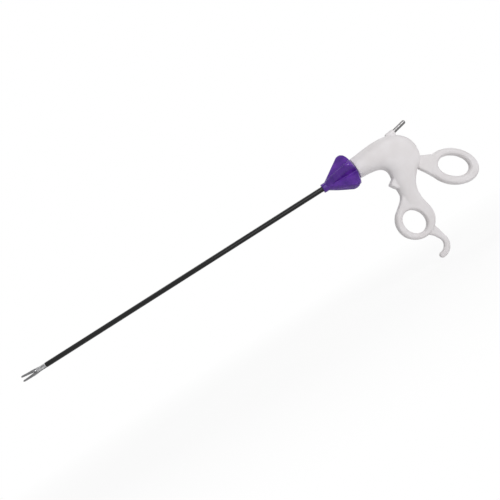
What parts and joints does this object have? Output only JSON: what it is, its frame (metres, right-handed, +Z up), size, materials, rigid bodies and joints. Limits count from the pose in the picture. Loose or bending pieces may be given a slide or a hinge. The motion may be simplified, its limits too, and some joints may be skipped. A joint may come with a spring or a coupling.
{
  "type": "laparoscopic scissors",
  "caption": "Slim long-shafted surgical scissors: curved blades in a fork, insulated tube, fluted rotation knob, ring handle with thumb lever and current pin.",
  "frame": {"origin": "on the shaft's axis at the front face of the rotation knob, where the working length starts", "axes": "+X along the shaft from the blades to the handle, +Z up through the current pin's side, Y across; the handle parts at y = 0"},
  "size_m": [0.4643, 0.0356, 0.1326],
  "materials": {
    "blade_steel": "fine ground",
    "jaw_steel": "polished",
    "rod_steel": "drawn",
    "tube_steel": "drawn",
    "insulation": "smooth satin",
    "knob_plastic": "moulded, slightly glossy",
    "brass_parts": "turned",
    "seal_rubber": "matte",
    "bearing_plastic": "natural",
    "handle_plastic": "fine moulded satin",
    "screw_steel": "zinc plated",
    "contact_metal": "turned, polished",
    "spring_bronze": "rolled"
  },
  "bodies": {
    "handle": {"handle_shell_left": "handle_plastic", "handle_shell_right": "handle_plastic", "handle_screws": "screw_steel", "lever_pivot_pin": "rod_steel", "front_bearing": "bearing_plastic", "hf_pin": "contact_metal", "contact_spring": "spring_bronze"},
    "shaft": {"rotation_knob": "knob_plastic", "shaft_hub": "brass_parts", "friction_ring": "seal_rubber", "seal_nut": "brass_parts", "rod_seal": "seal_rubber", "outer_tube": "tube_steel", "insulation_sleeve": "insulation", "clevis": "jaw_steel", "blade_pivot_pin": "jaw_steel"},
    "rod": {"drive_rod": "rod_steel", "rod_ball": "rod_steel", "cam_pin": "jaw_steel"},
    "lever": {"thumb_lever": "handle_plastic", "lever_fork": "rod_steel", "lever_bush": "brass_parts"},
    "upper_jaw": {"blade_upper": "blade_steel"},
    "lower_jaw": {"blade_lower": "blade_steel"}
  },
  "joints": [
    {"name": "thumb_lever_pivot", "type": "hinge", "parent": "handle", "child": "lever", "pos_m": [0.07, 0, -0.008], "axis": [0, 1, 0], "range_deg": [-13.9, 3.9]},
    {"name": "shaft_rotation", "type": "hinge", "parent": "handle", "child": "shaft", "pos_m": [0.035, 0, 0], "axis": [1, 0, 0], "continuous": true},
    {"name": "rod_slide", "type": "slide", "parent": "shaft", "child": "rod", "axis": [1, 0, 0], "range_m": [-0.00196, 0.00056]},
    {"name": "upper_blade_pivot", "type": "hinge", "parent": "shaft", "child": "upper_jaw", "pos_m": [-0.31168, 0, 0], "axis": [0, 0.9511, -0.309], "range_deg": [-5.5, 19.5]},
    {"name": "lower_blade_pivot", "type": "hinge", "parent": "shaft", "child": "lower_jaw", "pos_m": [-0.31168, 0, 0], "axis": [0, 0.9511, -0.309], "range_deg": [-19.5, 5.5]}
  ],
  "couplings": [
    {"joint": "rod_slide", "follows": "thumb_lever_pivot", "m_per_rad": 0.008},
    {"joint": "upper_blade_pivot", "follows": "thumb_lever_pivot", "ratio": -1.3963},
    {"joint": "lower_blade_pivot", "follows": "thumb_lever_pivot", "ratio": 1.3963}
  ]
}
